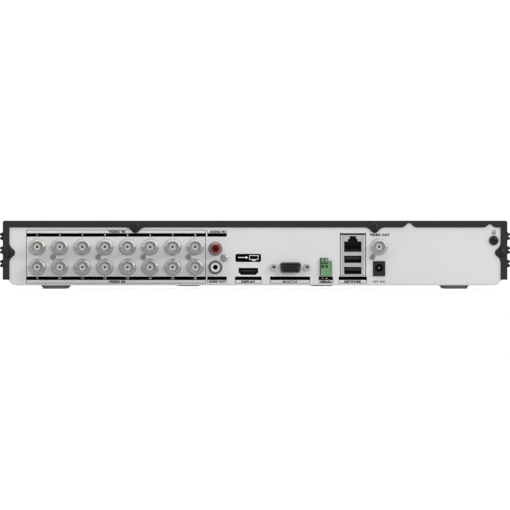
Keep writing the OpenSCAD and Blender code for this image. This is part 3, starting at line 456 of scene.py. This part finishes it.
# Threads inside the two jackscrews
THREAD_SIDES, THREAD_STEPS, THREAD_STEP = 24, 29, 0.14
THREAD_RADII = (1.19, 1.02)  # root and crest
JACKSCREW_HALF = 2.77  # from a screw's axis to its widest corner
MOUTH = 0.35  # depth of the countersink
threads = bmesh.new()
screw_low, screw_high = node_box("jackscrews")
_, screw_z, screw_y = seat("jackscrews")
for x in (screw_low[0] + JACKSCREW_HALF, screw_high[0] - JACKSCREW_HALF):
    rings = []
    for k in range(THREAD_STEPS):
        radius, y = THREAD_RADII[k % 2], screw_y - MOUTH - k * THREAD_STEP
        angles = [2 * math.pi * i / THREAD_SIDES for i in range(THREAD_SIDES)]
        rings.append([threads.verts.new(((x + radius * math.cos(a)) * MM, y * MM,
                                         (screw_z + radius * math.sin(a)) * MM)) for a in angles])
    join_rings(threads, rings)
    threads.faces.new(rings[-1])
finish_mesh("jackscrew_threads", threads, MATERIALS["dark_steel"], CASE)

# Spring contact inside the white audio socket: a sleeve with a closed end, in black moulding that paints the
# shade deep in the hole
SLEEVE_OUTER, SLEEVE_INNER, SLEEVE_END = 1.93, 1.75, 0.6
SLEEVE_DEPTHS = (14, 0.8)
audio_x, audio_z, audio_y = seat("audio_out_insulator")
sleeve = bmesh.new()
back, mouth = [audio_y - depth for depth in SLEEVE_DEPTHS]
prism(sleeve, ring_points(audio_x, audio_z, SLEEVE_OUTER, SLEEVE_INNER, 0, FULL_TURN, 40), back, mouth)
prism(sleeve, ring_points(audio_x, audio_z, SLEEVE_OUTER, 0.05, 0, FULL_TURN, 40), back - SLEEVE_END, back)
finish_mesh("audio_contact_painted_shade", sleeve, MATERIALS["black_plastic"], CASE)

# Contact strips under the tongues of the two sockets below it
STRIP_PITCH, STRIP_HALF = 2.3, 0.5
STRIP_DEPTHS = (8, 1.7)
OPENING_TOPS = (-0.55, -9.0)
STRIP_LOW, STRIP_HIGH = -2.72, -2.58  # from the opening's top
strips = bmesh.new()
for top in OPENING_TOPS:
    for i in range(4):
        x = lan_x + (i - 1.5) * STRIP_PITCH
        outline = rounded(x - STRIP_HALF, x + STRIP_HALF, lan_z + top + STRIP_LOW, lan_z + top + STRIP_HIGH,
                          0.05, 2)
        prism(strips, outline, *[PANEL_Y - depth for depth in STRIP_DEPTHS])
finish_mesh("serial_bus_contacts", strips, MATERIALS["brass"], CASE)


# ---------- front ----------


def power_symbol(shape, x, z, size, y0, y1):
    """Ring open at the top with an upright bar in the gap."""
    prism(shape, ring_points(x, z, size, size * 0.8, 118, 422), y0, y1)
    stem = rounded(x - size * 0.1, x + size * 0.1, z + size * 0.25, z + size * 1.1, size * 0.08, 3)
    prism(shape, stem, y0, y1)


def front_piece(name, build, body, material=WHITE_INK_PAINT):
    """Printed piece of the front, whose shape is added by the function build."""
    shape = bmesh.new()
    build(shape)
    return finish_mesh(name, shape, material, body)


KEYS_Z, NAV_X, PITCH = 27.0, 108.0, 10.5
front_piece("power_symbol", lambda s: power_symbol(s, 150, KEYS_Z, 2.6, KEY_Y - INK, KEY_Y), "power_button")
for key, dx, dz in (("up_key", 0, 1), ("down_key", 0, -1), ("left_key", -1, 0), ("right_key", 1, 0)):
    cx, cz = NAV_X + dx * PITCH, KEYS_Z + dz * PITCH
    tip = [(cx + dx * 1.5, cz + dz * 1.5), (cx - dx * 0.9 + dz * 1.6, cz - dz * 0.9 - dx * 1.6),
           (cx - dx * 0.9 - dz * 1.6, cz - dz * 0.9 + dx * 1.6)]
    front_piece(key + "_arrow", lambda s, tip=tip: prism(s, tip, KEY_Y - INK, KEY_Y), key)
front_piece("enter_key_ring", lambda s: prism(s, ring_points(NAV_X, KEYS_Z, 1.7, 1.25, 0, FULL_TURN, 40),
                                               KEY_Y - INK, KEY_Y), "enter_key")


def window_marks(shape):
    """Pictograms under the three status lights: power, disk and network."""
    y0, y1 = WINDOW_Y - INK, WINDOW_Y
    z = KEYS_Z - 6.2
    power_symbol(shape, -118, z, 1.1, y0, y1)
    prism(shape, ring_points(-104, z + 0.7, 1.3, 1.0, 0, FULL_TURN, 24), y0, y1)
    prism(shape, ring_points(-104, z - 0.5, 1.3, 1.0, 180, 360, 14), y0, y1)
    for x0, x1, z0, z1 in ((-91.4, -90.9, z - 1.2, z - 0.4), (-89.1, -88.6, z - 1.2, z - 0.4),
                           (-91.4, -88.6, z - 0.4, z - 0.1), (-90.15, -89.85, z - 0.1, z + 0.5),
                           (-90.8, -89.2, z + 0.5, z + 1.3)):
        bar(shape, x0, x1, z0, z1, y0, y1)


front_piece("status_pictograms", window_marks, CASE, GREY_INK)


# ---------- floor, world and lights ----------

FLOOR_HALF, FLOOR_Z = 40.0, -0.0001  # metres
FLOOR_GLOW, FLOOR_GLOW_SEEN = 0.25, 1.4
mesh = bpy.data.meshes.new("floor")
mesh.from_pydata([(x * FLOOR_HALF, y * FLOOR_HALF, FLOOR_Z) for x, y in ((-1, -1), (1, -1), (1, 1), (-1, 1))],
                 [], [(0, 1, 2, 3)])
floor = bpy.data.objects.new("floor", mesh)
scene.collection.objects.link(floor)
mesh.materials.append(surface("pale_floor", grey(0.45), grey(0.47), (0.8, 0.9), specular=0.0, patch=3,
                              glow=FLOOR_GLOW, seen_glow=FLOOR_GLOW_SEEN))

world = bpy.data.worlds.new("studio")
scene.world = world
world.use_nodes = True
nodes, links = world.node_tree.nodes, world.node_tree.links
nodes.clear()
output = nodes.new("ShaderNodeOutputWorld")
seen = nodes.new("ShaderNodeBackground")
seen.inputs["Color"].default_value = (1, 1, 1, 1)
seen.inputs["Strength"].default_value = 1.05
lit = nodes.new("ShaderNodeBackground")
path = nodes.new("ShaderNodeLightPath")
choose = nodes.new("ShaderNodeMixShader")
direction = nodes.new("ShaderNodeTexCoord")
split = nodes.new("ShaderNodeSeparateXYZ")
links.new(direction.outputs["Generated"], split.inputs["Vector"])
ramp = nodes.new("ShaderNodeValToRGB")
HEIGHTS = ((0.0, 0.28), (0.12, 0.38), (0.35, 0.72), (1.0, 0.95))
ramp.color_ramp.elements[0].position = HEIGHTS[0][0]
ramp.color_ramp.elements[0].color = (*grey(HEIGHTS[0][1]), 1)
ramp.color_ramp.elements[1].position = HEIGHTS[-1][0]
ramp.color_ramp.elements[1].color = (*grey(HEIGHTS[-1][1]), 1)
for position, value in HEIGHTS[1:-1]:
    ramp.color_ramp.elements.new(position).color = (*grey(value), 1)
links.new(split.outputs["Z"], ramp.inputs["Fac"])
links.new(ramp.outputs["Color"], lit.inputs["Color"])
lit.inputs["Strength"].default_value = 1.0
links.new(path.outputs["Is Camera Ray"], choose.inputs["Fac"])
links.new(lit.outputs["Background"], choose.inputs[1])
links.new(seen.outputs["Background"], choose.inputs[2])
links.new(choose.outputs["Shader"], output.inputs["Surface"])


def softbox(name, location, aim, size, watts, glossy=True):
    """Square area light that looks at a point."""
    data = bpy.data.lights.new(name, "AREA")
    data.shape = "RECTANGLE"
    data.size, data.size_y = size
    data.energy = watts
    obj = bpy.data.objects.new(name, data)
    scene.collection.objects.link(obj)
    obj.visible_glossy = glossy
    obj.location = location
    offset = [a - b for a, b in zip(aim, location)]
    flat = math.hypot(offset[0], offset[1])
    obj.rotation_euler = (math.atan2(flat, -offset[2]), 0, math.atan2(offset[1], offset[0]) - math.pi / 2)


softbox("light_top", (0, 0.1, 2.2), (0, 0, 0), (2.4, 2.0), 22)
softbox("light_rear_right", (-2.2, 2.6, 1.3), (0, 0.1, 0.03), (1.2, 1.1), 29)
softbox("light_rear_left", (2.2, 2.6, 1.3), (0, 0.1, 0.03), (1.6, 1.4), 8)
softbox("light_behind_camera", (-1.0, 6.0, 0.5), (0, 0.1, 0.03), (2.0, 1.6), 100, glossy=False)
softbox("light_front", (0.6, -2.6, 1.6), (0, -0.1, 0.03), (2.4, 1.2), 22)
